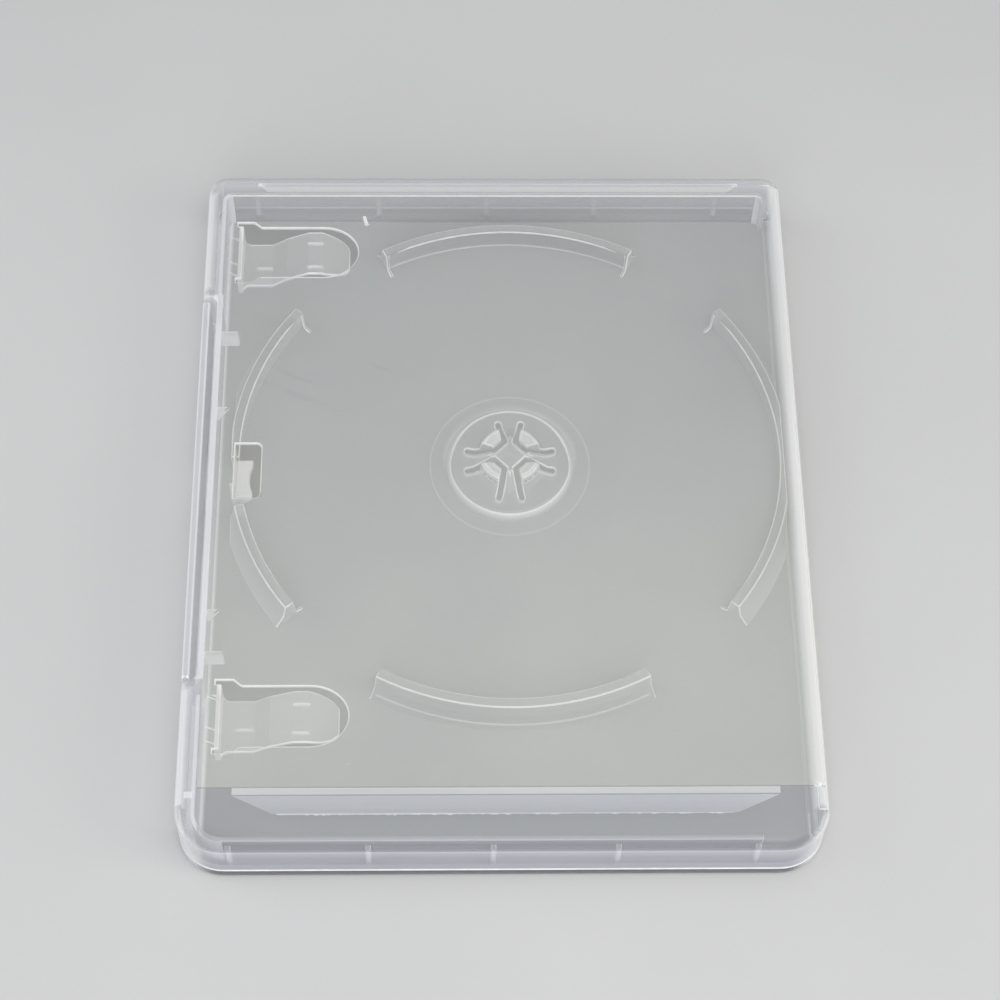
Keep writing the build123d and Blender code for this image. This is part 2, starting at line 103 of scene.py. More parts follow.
# Places in plan where the lid looks whiter through its plate, painted partly for the plastic under it and
# partly as painted light: spans in X, then in Y
COVER_THICK = (
    ((-55.9, 57.5), (-73.5, -72.1)),
    ((-65.2, -63.3), (-47.0, 51.0)),
    ((-65.8, -64.2), (-74.2, -73.0)),
)
COVER_FADE = 0.3
# Strips along its sides, painted whiter as painted light
COVER_LIT_SIDES = (
    ((-68.5, -67.0), (-75.0, -50.5)),
    ((-68.5, -67.0), (54.0, 79.0)),
    ((66.0, 68.5), (-75.5, 81.5)),
)
SIDE_FADE = 2.4

# Disc hub: its middle, pad, button and fingers, and the arcs round the disc
HUB_MIDDLE = Vector((2.85, 13.3, 0.0))
PAD_RADIUS = 18.5
BUTTON_RADIUS = 4.3
FINGER_REACH = 8.2
FINGER_LOW = 4.6
ARC_SPAN = (57.0, 68.0)

# Light on the hub's seat: a line that moves in and widens on the far side, a glow outside it and a rim
HUB_FAR_SIDE = (-4.0, 7.0)
HUB_LINE_RADIUS = 13.8
HUB_LINE_SHIFT = 0.65
HUB_LINE_CORE = 0.08
HUB_LINE_WIDTH = 0.3
HUB_LINE_GROWTH = 0.3
HUB_LINE_ROOM = 0.8
HUB_GLOW_RADIUS = 15.0
HUB_GLOW_GROWTH = 1.8
HUB_GLOW = 0.7
HUB_RIM_RADIUS = PAD_RADIUS - 0.25
HUB_RIM_FADE = (0.05, 0.4)
HUB_RIM_GLOW = 0.2
HUB_LIGHT_TINT = (0.98, 0.98, 0.96)
HUB_LIGHT_DENSITY = 0.4

# Where the mouldings' ends, sides, stops and inner walls lie
END_CORNERS = 75.7
END_DEPTH = 12.0
END_WALLS = 81.0
OPENING_SIDE = -63.0
LEDGE_SPAN = (OPENING_SIDE - 0.6, OPENING_SIDE + 0.4)
NOTCH_SPAN = (-64.0, -55.0)
NOTCH_HALF = 54.0
LATCH_SPAN = (-2.0, 15.0)
RIM_TOP = 4.0
NEAR_STOP = (-73.6, -71.6)
FAR_STOP = (82.8, 84.2)
STOP_FOOT = 4.5
PLATE_UNDERSIDE = 13.8
UNDER_SPAN = (4.5, PLATE_UNDERSIDE - 0.6)
STUB_SPAN = (-34.0, 60.0)
PLATE_TOP = 1.2
FOOT_SPAN = (PLATE_TOP, PLATE_TOP + 0.7)
INNER_WALL_TOP = 12.0
CAP_FOOT = 11.5
CAP_HALF = 0.4
# Heights over which the top of a wall is painted lighter, as painted light
BROW_SPAN = (7.5, 13.2)

# Sizes that tell faces apart, and the slack in comparing places
CLIP_BROAD = 3.0
CLIP_DEEP = 8.0
NARROW = 1.2
STUB_WIDTH = 2.5
RIB_WIDTH = 3.0
SLACK = 0.1

# How far a face's normal has turned towards an axis, from a gentle slope to level or square
SLOPING, LEANING, FACING, SQUARE, LEVEL = 0.2, 0.3, 0.5, 0.7, 0.98

# Noises of the materials, with their scale, detail and roughness, and the part of their range that counts
CLOUD_NOISE = (24.0, 1.0, 0.5)
STREAK_NOISE = (320.0, 1.0, 0.6)
VEIL_NOISE = (30.0, 1.0, 0.55)
WISP_NOISE = (1.0, 2.0, 0.6)
CREASE_NOISE = (600.0, 1.0, 0.6)
FLOOR_NOISE = (9.0, 4.0, 0.5)
NOISE_RANGE = (0.2, 0.8)

# Plastic: its roughness from the glossiest to the dullest patches, what its clouds change, and how dense
# it gets at a glancing angle, as blend, power and share
PLASTIC_IOR = 1.49
PLASTIC_GLOSS = (0.19, 0.265)
PLASTIC_GLANCE = (0.35, 3.0, 0.3)
CLOUD_SHADE = 0.95
CLOUD_DENSITY = (0.95, 1.05)

# Walls and sides: the turn of the normal over which they come in, the sides' tint, a painted sheen, and the
# density that places add
UPRIGHT_TURN = (0.35, 0.95)
SIDEWAYS_TURN = (0.15, 0.8)
SIDE_SHEEN_TINT = (0.88, 0.885, 0.89)
SIDE_DENSITY = 0.15
CARRIED_DENSITY = 0.22
THICK_SIDE_DENSITY = 0.32
LEDGE_DENSITY = 0.35

# Painted shade on the rounded header edge, darker the more it slants, and a painted highlight: the bright
# line where it meets the wall
FILLET_SHADE_GAIN = 2.1
MEETING_TURN = 0.16
MEETING_FADE = (0.05, 0.14)
MEETING_HIGHLIGHT_TINT = (0.9, 0.9, 0.93)

# Streaks in the rounded edges
STREAK_RANGE = (0.3, 0.7)
STREAK_SHADE = 0.92
STREAK_THIN = 0.8


class Graph:
    """Node tree of one material, with short calls for the nodes that it needs."""

    def __init__(self, name):
        self.material = bpy.data.materials.new(name)
        self.material.use_nodes = True
        self.tree = self.material.node_tree
        self.tree.nodes.clear()

    def put(self, socket, value):
        """Sets a socket, or links it if the value comes from another node."""
        if isinstance(value, bpy.types.NodeSocket):
            self.tree.links.new(value, socket)
        else:
            socket.default_value = value

    def node(self, kind, **inputs):
        made = self.tree.nodes.new(kind)
        for name, value in inputs.items():
            self.put(made.inputs[name.replace("_", " ")], value)
        return made

    def math(self, operation, first, second=0.0, clamp=False):
        made = self.tree.nodes.new("ShaderNodeMath")
        made.operation = operation
        made.use_clamp = clamp
        self.put(made.inputs[0], first)
        self.put(made.inputs[1], second)
        return made.outputs[0]

    def raised(self, value, place, share):
        """The value, raised by the share where the place is 1."""
        return self.math("ADD", value, self.math("MULTIPLY", place, share))

    def apart(self, first, second):
        """How far two numbers are apart."""
        return self.math("ABSOLUTE", self.math("SUBTRACT", first, second))

    def vector(self, operation, first, second=(0.0, 0.0, 0.0)):
        made = self.tree.nodes.new("ShaderNodeVectorMath")
        made.operation = operation
        self.put(made.inputs[0], first)
        self.put(made.inputs[1], second)
        return made.outputs["Vector"]

    def length(self, vector):
        made = self.tree.nodes.new("ShaderNodeVectorMath")
        made.operation = "LENGTH"
        self.put(made.inputs[0], vector)
        return made.outputs["Value"]

    def span(self, value, low, high, to_low, to_high):
        """Maps the range low to high smoothly onto to_low to to_high, held at both ends."""
        made = self.tree.nodes.new("ShaderNodeMapRange")
        made.interpolation_type = "SMOOTHSTEP"
        names = ("Value", "From Min", "From Max", "To Min", "To Max")
        for name, number in zip(names, (value, low, high, to_low, to_high)):
            self.put(made.inputs[name], number)
        return made.outputs["Result"]

    def blend(self, factor, first, second):
        """Mixes two colours."""
        made = self.tree.nodes.new("ShaderNodeMix")
        made.data_type = "RGBA"
        self.put(made.inputs["Factor"], factor)
        self.put(made.inputs[6], first)
        self.put(made.inputs[7], second)
        return made.outputs[2]

    def noise(self, place, scale, detail, roughness):
        settings = {"Scale": scale, "Detail": detail, "Roughness": roughness}
        return self.node("ShaderNodeTexNoise", Vector=place, **settings).outputs["Fac"]

    def glancing(self, blend, power, share):
        """Rises from 0 to the share as the surface turns away from the line of sight."""
        facing = self.node("ShaderNodeLayerWeight", Blend=blend).outputs["Facing"]
        return self.math("MULTIPLY", self.math("POWER", facing, power), share)

    def coordinates(self, name):
        return self.tree.nodes.new("ShaderNodeTexCoord").outputs[name]

    def millimetres(self):
        """Place on the piece in millimetres, in the case's own frame."""
        return self.vector("MULTIPLY", self.coordinates("Object"), (1 / MM, 1 / MM, 1 / MM))

    def axes(self, vector):
        made = self.node("ShaderNodeSeparateXYZ", Vector=vector)
        return made.outputs["X"], made.outputs["Y"], made.outputs["Z"]

    def within(self, x, y, boxes, soft):
        """1 inside any of the boxes in plan, falling to 0 over the soft distance around them."""
        nearest = None
        # Three boxes at a time, one to each part of a vector
        for start in range(0, len(boxes), 3):
            three = (boxes[start : start + 3] + boxes[-1:] * 2)[:3]
            beyond = []
            for value, spans in ((x, [box[0] for box in three]), (y, [box[1] for box in three])):
                middles = tuple((low + high) / 2 for low, high in spans)
                halves = tuple((high - low) / 2 for low, high in spans)
                away = self.vector("ABSOLUTE", self.vector("SUBTRACT", value, middles))
                beyond.append(self.vector("SUBTRACT", away, halves))
            first, second, third = self.axes(self.vector("MAXIMUM", *beyond))
            least = self.math("MINIMUM", self.math("MINIMUM", first, second), third)
            nearest = least if nearest is None else self.math("MINIMUM", nearest, least)
        return self.span(nearest, 0.0, soft, 1.0, 0.0)

    def mix_shaders(self, factor, first, second):
        made = self.tree.nodes.new("ShaderNodeMixShader")
        self.put(made.inputs[0], factor)
        self.put(made.inputs[1], first)
        self.put(made.inputs[2], second)
        return made.outputs[0]

    def bump(self, height, strength, distance):
        made = self.node("ShaderNodeBump", Height=height, Strength=strength, Distance=distance)
        return made.outputs["Normal"]

    def finish(self, shader):
        out = self.tree.nodes.new("ShaderNodeOutputMaterial")
        self.tree.links.new(shader, out.inputs["Surface"])
        return self.material


def paint(colour, share=1.0):
    """A colour with its alpha, darkened to a share."""
    return (*(share * level for level in colour), 1.0)


def milky(g, shader, passed, both_sides=False):
    """Shows a wall once, from its near side, and lets the passed share of a lamp's light through it."""
    lamp_ray = g.tree.nodes.new("ShaderNodeLightPath").outputs["Is Shadow Ray"]
    veil = g.node("ShaderNodeBsdfTransparent", Color=(passed, passed, passed, 1.0)).outputs[0]
    shown = g.mix_shaders(lamp_ray, shader, veil)
    if both_sides:
        return shown
    far_side = g.tree.nodes.new("ShaderNodeNewGeometry").outputs["Backfacing"]
    clear = g.node("ShaderNodeBsdfTransparent").outputs[0]
    return g.mix_shaders(far_side, shown, clear)


def thick_places(g):
    """Where the lid's plate carries a stop, a wall or a post, and its sides: both show whiter, the first
    partly for the plastic under it and partly as painted light, the sides as painted light.
    """
    x, y, _ = g.axes(g.millimetres())
    along_clip = g.math("MODULO", g.math("SUBTRACT", y, HEADER_END), CLIP_PITCH)
    cover = g.within(x, y, COVER_THICK, COVER_FADE)
    post = g.within(x, along_clip, CLIP_POST, POST_FADE)
    return g.math("MAXIMUM", cover, post), g.within(x, y, COVER_LIT_SIDES, SIDE_FADE)


def moulded(
    name,
    plate,
    wall,
    plate_density,
    wall_density,
    passed,
    side=SIDE_SHEEN_TINT,
    fillet_shade=None,
    brow_light=None,
    thick_and_lit=None,
    foot=None,
    ledge=None,
    both_sides=False,
):
    """Milky clear polypropylene: thin across a plate, denser along a wall and at a glancing angle.

    The wall's tint is partly the denser plastic and partly painted light and shade on upright faces. The
    other tints are for sides, as a painted sheen; the rounded header edge, as painted shade with a painted
    highlight where it meets the wall; the top of a wall, as painted light; what the lid's plate carries and
    its sides, as whiter plastic and painted light; the foot of a wall, as a painted highlight; and the
    ledge at the opening edge, as painted light.
    """
    g = Graph(name)
    clouds = g.noise(g.coordinates("Object"), *CLOUD_NOISE)
    across, along, up = g.axes(g.coordinates("Normal"))
    upright = g.span(g.math("ABSOLUTE", up), *UPRIGHT_TURN, 1.0, 0.0)
    cloudy = g.span(clouds, *NOISE_RANGE, 0.0, 1.0)
    colour = g.blend(cloudy, paint(plate), paint(plate, CLOUD_SHADE))
    colour = g.blend(upright, colour, paint(wall))
    density = g.span(upright, 0.0, 1.0, plate_density, wall_density)
    # Painted light: the top of a wall lighter than the rest of it
    if brow_light:
        height = g.axes(g.millimetres())[2]
        lit = g.math("MULTIPLY", g.span(height, *BROW_SPAN, 0.0, 1.0), upright)
        colour = g.blend(lit, colour, paint(brow_light))
    # Painted shade on the rounded header edge, darker the more it slants, and a painted highlight where it
    # meets the wall
    if fillet_shade:
        slanted = g.math("ABSOLUTE", g.math("MULTIPLY", along, up))
        turned = g.math("MULTIPLY", slanted, FILLET_SHADE_GAIN, clamp=True)
        meeting_highlight = g.span(g.apart(up, MEETING_TURN), *MEETING_FADE, 1.0, 0.0)
        colour = g.blend(turned, colour, paint(fillet_shade))
        colour = g.blend(meeting_highlight, colour, paint(MEETING_HIGHLIGHT_TINT))
    # Painted highlight: a bright line along the foot of a wall
    if foot:
        height = g.axes(g.millimetres())[2]
        colour = g.blend(g.span(height, *FOOT_SPAN, 1.0, 0.0), colour, paint(foot))
    # Painted sheen: faces turned to either side painted whiter, and denser
    if side:
        sideways = g.span(g.math("ABSOLUTE", across), *SIDEWAYS_TURN, 0.0, 1.0)
        colour = g.blend(sideways, colour, paint(side))
        density = g.raised(density, sideways, SIDE_DENSITY)
    # Whiter where the plate carries something, partly plastic and partly painted light, and painted light
    # along its sides
    if thick_and_lit:
        carried, sides = thick_places(g)
        colour = g.blend(g.math("MAXIMUM", carried, sides), colour, paint(thick_and_lit))
        density = g.raised(density, carried, CARRIED_DENSITY)
        density = g.raised(density, sides, THICK_SIDE_DENSITY)
    # Painted light: the ledge at the opening edge painted whiter, and denser
    if ledge:
        x = g.axes(g.millimetres())[0]
        beyond = g.span(x, *LEDGE_SPAN, 1.0, 0.0)
        colour = g.blend(beyond, colour, paint(ledge))
        density = g.raised(density, beyond, LEDGE_DENSITY)
    density = g.math("MULTIPLY", density, g.span(clouds, *NOISE_RANGE, *CLOUD_DENSITY))
    plastic = g.node(
        "ShaderNodeBsdfPrincipled",
        Base_Color=colour,
        Roughness=g.span(clouds, *NOISE_RANGE, *PLASTIC_GLOSS),
        IOR=PLASTIC_IOR,
        Alpha=g.math("ADD", density, g.glancing(*PLASTIC_GLANCE), clamp=True),
    )
    return g.finish(milky(g, plastic.outputs[0], passed, both_sides))


def hub_seat(name, tint, density, passed):
    """The disc hub's seat, flank and pad: a bright ring, a glow outside it and a faint outer circle."""
    g = Graph(name)
    away = g.vector("SUBTRACT", g.millimetres(), HUB_MIDDLE)
    radius = g.length(g.vector("MULTIPLY", away, (1.0, 1.0, 0.0)))
    far = g.span(g.axes(away)[1], *HUB_FAR_SIDE, 0.0, 1.0)
    line_radius = g.math("SUBTRACT", HUB_LINE_RADIUS, g.math("MULTIPLY", far, HUB_LINE_SHIFT))
    line_width = g.raised(HUB_LINE_WIDTH, far, HUB_LINE_GROWTH)
    line = g.span(g.apart(radius, line_radius), HUB_LINE_CORE, line_width, 1.0, 0.0)
    glow_radius = g.raised(HUB_GLOW_RADIUS, far, HUB_GLOW_GROWTH)
    glow = g.span(radius, line_radius, glow_radius, HUB_GLOW, 0.0)
    glow = g.math("MULTIPLY", glow, g.math("GREATER_THAN", radius, line_radius))
    rim = g.span(g.apart(radius, HUB_RIM_RADIUS), *HUB_RIM_FADE, HUB_RIM_GLOW, 0.0)
    light = g.math("MAXIMUM", line, g.math("MAXIMUM", glow, rim))
    plastic = g.node(
        "ShaderNodeBsdfPrincipled",
        Base_Color=g.blend(light, paint(tint), paint(HUB_LIGHT_TINT)),
        Roughness=PLASTIC_GLOSS[1],
        IOR=PLASTIC_IOR,
        Alpha=g.math("ADD", g.math("MULTIPLY", light, HUB_LIGHT_DENSITY), density, clamp=True),
    )
    return g.finish(milky(g, plastic.outputs[0], passed))


def moulded_edge(name, tint, density, passed, both_sides=False):
    """Rounded edge of the same plastic, where light gathers and shows whiter."""
    g = Graph(name)
    streaks = g.noise(g.coordinates("Object"), *STREAK_NOISE)
    streaked = g.span(streaks, *NOISE_RANGE, 0.0, 1.0)
    plastic = g.node(
        "ShaderNodeBsdfPrincipled",
        Base_Color=g.blend(streaked, paint(tint), paint(tint, STREAK_SHADE)),
        Roughness=g.span(streaks, *NOISE_RANGE, *PLASTIC_GLOSS),
        IOR=PLASTIC_IOR,
        Alpha=g.span(streaks, *STREAK_RANGE, density * STREAK_THIN, density),
    )
    return g.finish(milky(g, plastic.outputs[0], passed, both_sides))


# Film sleeve: which way the outer side of each panel looks
FILM_PANELS = (("film_front", "Z", 1.0), ("film_back", "Z", -1.0), ("film_spine", "X", 1.0))

# Its tint, haze, gloss and gentle waves, with the haze thinning along the front from header to foot
FILM_TINT = (0.88, 0.885, 0.77)
FILM_HAZE = 0.12
FILM_HAZE_RANGE = (0.85 * FILM_HAZE, 1.15 * FILM_HAZE)
FILM_FADE = (-75.0 * MM, 75.0 * MM, 1.8, 0.75)
FILM_GLANCE = (0.4, 4.0, 0.5)
FILM_GLOSS = (0.06, 0.16)
FILM_WAVES = (0.12, 0.3 * MM)

# Marks on its front, in millimetres: painted shade along the dark header edge, the smoky wisps and the
# crease at the spine edge, whose whiteness is a painted highlight
FILM_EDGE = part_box("film_front")[0][1] / MM
FILM_EDGE_WIDTH = 0.5
FILM_EDGE_SHADE_TINT = (0.18, 0.19, 0.20)
FILM_EDGE_SHADE_DENSITY = 0.26
WISP_MIDDLE = (-37.0, 30.0, 15.0)
WISP_REACH = (23.0, 15.0, 50.0)
WISP_FADE = (0.4, 1.0, 0.8, 0.0)
WISP_SLANT = radians(-23)
WISP_GRAIN = (30.0, 5.0, 10.0)
WISP_RANGE = (0.48, 0.72)
WISP_TINT = (0.26, 0.29, 0.34)
WISP_DENSITY = 0.06
# The crease at the spine edge is painted whiter, as a painted highlight
CREASE = (((65.2, 66.8), (-74.0, -71.6)),)
CREASE_FADE = 0.9
CREASE_RANGE = (0.46, 0.6)
CREASE_HIGHLIGHT_TINT = (0.95, 0.95, 0.93)
CREASE_DENSITY = 0.4


def film_marks(g, place):
    """The film's header edge with its painted shade, its wisps and its crease with a painted highlight:
    where each is, from 0 to 1, its tint and its density.
    """
    spot = g.millimetres()
    x, y, _ = g.axes(spot)
    # Painted shade: a dark line along the header edge, where the film meets its seat
    edge = g.span(y, FILM_EDGE, FILM_EDGE + FILM_EDGE_WIDTH, 1.0, 0.0)
    turned = g.node("ShaderNodeMapping", Vector=spot, Rotation=(0.0, 0.0, WISP_SLANT), Scale=WISP_GRAIN)
    turned.vector_type = "TEXTURE"
    ring = g.length(g.vector("DIVIDE", g.vector("SUBTRACT", spot, WISP_MIDDLE), WISP_REACH))
    wisps = g.span(g.noise(turned.outputs[0], *WISP_NOISE), *WISP_RANGE, 0.0, 1.0)
    wisps = g.math("MULTIPLY", wisps, g.span(ring, *WISP_FADE))
    ragged = g.span(g.noise(place, *CREASE_NOISE), *CREASE_RANGE, 0.0, 1.0)
    crease = g.math("MULTIPLY", g.within(x, y, CREASE, CREASE_FADE), ragged)
    return (
        (edge, FILM_EDGE_SHADE_TINT, FILM_EDGE_SHADE_DENSITY),
        (wisps, WISP_TINT, WISP_DENSITY),
        (crease, CREASE_HIGHLIGHT_TINT, CREASE_DENSITY),
    )


def clear_film(name, axis, outward, marked=False):
    """Thin clear film: a faint haze, glossy at a glancing angle, gently waved, shown on its outer side."""
    g = Graph(name)
    place = g.coordinates("Object")
    veil = g.noise(place, *VEIL_NOISE)
    density = g.span(veil, *NOISE_RANGE, *FILM_HAZE_RANGE)
    colour = paint(FILM_TINT)
    if marked:
        density = g.math("MULTIPLY", density, g.span(g.axes(place)[1], *FILM_FADE))
        for patch, tint, share in film_marks(g, place):
            colour = g.blend(patch, colour, paint(tint))
            density = g.raised(density, patch, share)
    density = g.math("ADD", density, g.glancing(*FILM_GLANCE))
    film = g.node(
        "ShaderNodeBsdfPrincipled",
        Base_Color=colour,
        Roughness=g.span(veil, *NOISE_RANGE, *FILM_GLOSS),
        IOR=PLASTIC_IOR,
        Normal=g.bump(veil, *FILM_WAVES),
        Alpha=g.math("MINIMUM", density, 1.0),
    )
    across, _, up = g.axes(g.coordinates("Normal"))
    outside = g.math("GREATER_THAN", g.math("MULTIPLY", up if axis == "Z" else across, outward), 0.0)
    clear = g.node("ShaderNodeBsdfTransparent").outputs[0]
    return g.finish(milky(g, g.mix_shaders(outside, clear, film.outputs[0]), 1.0))


def pale_floor(name):
    g = Graph(name)
    mottle = g.noise(g.coordinates("Object"), *FLOOR_NOISE)
    colour = g.blend(g.span(mottle, *NOISE_RANGE, 0.0, 1.0), *(paint(tint) for tint in FLOOR_TINTS))
    paper = g.node("ShaderNodeBsdfPrincipled", Base_Color=colour, Roughness=FLOOR_ROUGHNESS)
    return g.finish(paper.outputs[0])


def edge_room(edge):
    """Width of the narrower of the two faces beside an edge, square to the edge."""
    start = edge.verts[0].co
    along = (edge.verts[1].co - start).normalized()
    widths = []
    for face in edge.link_faces:
        offsets = [corner.co - start for corner in face.verts]
        widths.append(max((o - along * o.dot(along)).length for o in offsets))
    return min(widths)


def flattened_copy(node):
    """Mesh of a CAD node with its flat facets joined and its sharp outer edges weighted for rounding."""
    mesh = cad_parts[node].data.copy()
    mesh.materials.clear()
    shape = bmesh.new()
    shape.from_mesh(mesh)
    bmesh.ops.remove_doubles(shape, verts=shape.verts, dist=MERGE_DISTANCE)
    bmesh.ops.dissolve_limit(shape, angle_limit=FLAT_ANGLE, verts=shape.verts, edges=shape.edges)
    weight = shape.edges.layers.float.new("bevel_weight_edge")
    for face in shape.faces:
        face.smooth = True
        face.material_index = 0
    for edge in shape.edges:
        angle = edge.calc_face_angle(0.0) if len(edge.link_faces) == 2 else 0.0
        edge.smooth = angle < SMOOTH_ANGLE
        room = edge_room(edge) if angle > EDGE_ANGLE and edge.is_convex else 0.0
        if room > LEAST_ROOM:
            edge[weight] = min(1.0, EDGE_SHARE * room / EDGE_WIDTH)
    shape.to_mesh(mesh)
    shape.free()
    return mesh


def rounded(mesh, node):
    """The mesh with its weighted edges rounded; a corner thrown off the CAD surface goes back to it."""
    holder = bpy.data.objects.new("rounding", mesh)
    bpy.context.scene.collection.objects.link(holder)
    bevel = holder.modifiers.new("edges", "BEVEL")
    bevel.width = EDGE_WIDTH
    bevel.segments = EDGE_SEGMENTS
    bevel.limit_method = "WEIGHT"
    bevel.use_clamp_overlap = False
    bevel.loop_slide = True
    bevel.material = EDGE
    evened = holder.modifiers.new("normals", "WEIGHTED_NORMAL")
    evened.mode = "FACE_AREA"
    evened.keep_sharp = True
    depsgraph = bpy.context.evaluated_depsgraph_get()
    result = bpy.data.meshes.new_from_object(holder.evaluated_get(depsgraph), depsgraph=depsgraph)
    bpy.data.objects.remove(holder)
    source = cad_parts[node].data
    corners = [vertex.co for vertex in source.vertices]
    surface = BVHTree.FromPolygons(corners, [tuple(face.vertices) for face in source.polygons])
    for vertex in result.vertices:
        spot, _, _, distance = surface.find_nearest(vertex.co)
        if distance > STRAY_DISTANCE:
            vertex.co = spot
    return result


# Material slots of a moulding: the plastic itself, its rounded edges, then the zones of the lid or the base
BODY, EDGE, STOP, UNDER, RIM, CLIP, LATCH, GRIP = range(8)
HUB, FINGER, END, OUTER, RIB, SIDE, ARC = range(2, 9)


def inside(span, low, high):
    return span[0] < low and high < span[1]


def lid_zone(low, high, normal, slot, _corners):
    """Material slot of a face of the lid, by its place in millimetres."""
    size = high - low
    below = high.z < PLATE_UNDERSIDE + SLACK
    along_clip = ((low.y + high.y) / 2 - HEADER_END) % CLIP_PITCH - CLIP_PLACE
    in_clip = inside(CLIP_SPAN, low.x, high.x) and abs(along_clip) < CLIP_HALF
    in_near_stop = below and inside(NEAR_STOP, low.y, high.y)
    in_far_stop = below and inside(FAR_STOP, low.y, high.y)
    in_notch = below and inside(NOTCH_SPAN, low.x, high.x) and max(-low.y, high.y) < NOTCH_HALF
    if slot == EDGE:
        return UNDER if in_far_stop or (in_near_stop and high.z < STOP_FOOT) else EDGE
    if in_near_stop:
        return STOP
    if in_far_stop:
        return UNDER
    if in_notch:
        return LATCH if inside(LATCH_SPAN, low.y, high.y) else UNDER
    if in_clip and normal.z > LEANING and size.y > CLIP_BROAD:
        return CLIP
    if in_clip and normal.y > LEANING and size.z < CLIP_DEEP:
        return UNDER
    if in_clip and normal.z < -FACING and size.y < NARROW:
        return GRIP
    if normal.z < -FACING and UNDER_SPAN[0] < low.z < UNDER_SPAN[1]:
        in_stub = inside(STUB_SPAN, low.x, high.x) and size.x < STUB_WIDTH
        if size.y < NARROW or in_stub:
            return UNDER
    if max(-low.y, high.y) > END_CORNERS and size.y < END_DEPTH and normal.z < LEVEL:
        return RIM
    return BODY


def base_zone(low, high, normal, slot, corners):
    """Material slot of a face of the base, by its place in millimetres."""
    middle = (low + high) / 2
    reaches = [(corner - HUB_MIDDLE).to_2d().length for corner in corners]
    near, far = min(reaches), max(reaches)
    in_end = abs(middle.y) > END_WALLS
    in_far_end = middle.y > END_WALLS
    if in_far_end and low.z > CAP_FOOT:
        return EDGE
    if slot == EDGE:
        ringed = HUB_LINE_RADIUS - HUB_LINE_ROOM < near and far < PAD_RADIUS + SLACK
        quiet = abs(high.z - INNER_WALL_TOP) < CAP_HALF or (in_end and low.z > RIM_TOP)
        return HUB if ringed else BODY if quiet else EDGE
    if far < FINGER_REACH and low.z > FINGER_LOW and far > BUTTON_RADIUS:
        return FINGER
    if far < PAD_RADIUS + SLACK and normal.z > SLOPING:
        return HUB
    if inside(ARC_SPAN, near, far) and low.z > PLATE_TOP - SLACK and abs(middle.y) < END_CORNERS:
        return ARC
    if high.z < RIM_TOP and abs(normal.z) < FACING and (middle.y < -END_CORNERS or in_far_end):
        return OUTER
    if in_end and abs(normal.y) > SQUARE:
        return END if high.x - low.x > RIB_WIDTH else RIB
    if in_end and low.z > CAP_FOOT:
        return END
    return SIDE if high.x < OPENING_SIDE else BODY


def dressed(node, body, materials, zone=None):
    """Finished piece that stands for a CAD node, with rounded edges and its zones' materials."""
    mesh = flattened_copy(node)
    for material in materials:
        mesh.materials.append(material)
    piece = bpy.data.objects.new(node + "_dressed", rounded(mesh, node))
    piece.data.name = piece.name
    for face in piece.data.polygons if zone else ():
        corners = [piece.data.vertices[corner].co / MM for corner in face.vertices]
        low, high = (Vector([pick(values) for values in zip(*corners)]) for pick in (min, max))
        face.material_index = zone(low, high, face.normal, face.material_index, corners)
    bpy.context.scene.collection.objects.link(piece)
    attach(piece, body)
    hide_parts(node)


# Moulding flash along the lower edge of the header stop: a tip is never shorter than the least share of the
# reach there, and the power makes long tips rare
FLASH_START = -47.5 * MM
FLASH_END = 49.0 * MM
FLASH_STEP = 0.5 * MM
FLASH_ROOT = -73.3 * MM
FLASH_REACH = 0.6 * MM
FLASH_FADE = 0.45
FLASH_LEAST = 0.45
FLASH_POWER = 3
FLASH_HEIGHT = 4.1 * MM
FLASH_THICK = 0.15 * MM
FLASH_SEED = 7


def stop_flash(material):
    """Thin ragged fin of plastic that stands out at the foot of the header stop."""
    draw = random.Random(FLASH_SEED)
    shape = bmesh.new()
    count = round((FLASH_END - FLASH_START) / FLASH_STEP)
    low = FLASH_HEIGHT - FLASH_THICK
    rings = []
    for step in range(count + 1):
        x = FLASH_START + step * FLASH_STEP
        reach = FLASH_REACH * (1.0 - FLASH_FADE * step / count)
        share = FLASH_LEAST + (1.0 - FLASH_LEAST) * draw.random() ** FLASH_POWER
        tip = FLASH_ROOT - reach * share
        places = ((tip, FLASH_HEIGHT), (FLASH_ROOT, FLASH_HEIGHT), (FLASH_ROOT, low), (tip, low))
        rings.append([shape.verts.new((x, y, z)) for y, z in places])
    for one, two in zip(rings, rings[1:]):
        for side in range(4):
            after = (side + 1) % 4
            shape.faces.new((one[side], one[after], two[after], two[side]))
    shape.faces.new(rings[0][::-1])
    shape.faces.new(rings[-1])
    bmesh.ops.recalc_face_normals(shape, faces=shape.faces)
    mesh = bpy.data.meshes.new("stop_flash")
    shape.to_mesh(mesh)
    shape.free()
    mesh.materials.append(material)
    piece = bpy.data.objects.new("stop_flash", mesh)
    bpy.context.scene.collection.objects.link(piece)
    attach(piece, "front_cover")


# Plastics of the lid, the base and the spine: tints, densities and the share of a lamp's light they pass
LID_PLATE = (0.66, 0.685, 0.705)
LID_WHITE = (0.97, 0.975, 0.98)
LID_DENSITY = 0.27
LID_PASSED = 0.76
BASE_PLATE = (0.595, 0.612, 0.615)
BASE_DENSITY = 0.55
BASE_PASSED = 0.12

lid_plastic = moulded(
    "lid_plastic",
    plate=LID_PLATE,
    wall=(0.88, 0.89, 0.93),
    plate_density=LID_DENSITY,
    wall_density=0.66,
    passed=LID_PASSED,
    thick_and_lit=(0.95, 0.95, 0.96),
)
lid_edge = moulded_edge("lid_edge", tint=(0.95, 0.955, 0.95), density=0.8, passed=LID_PASSED)
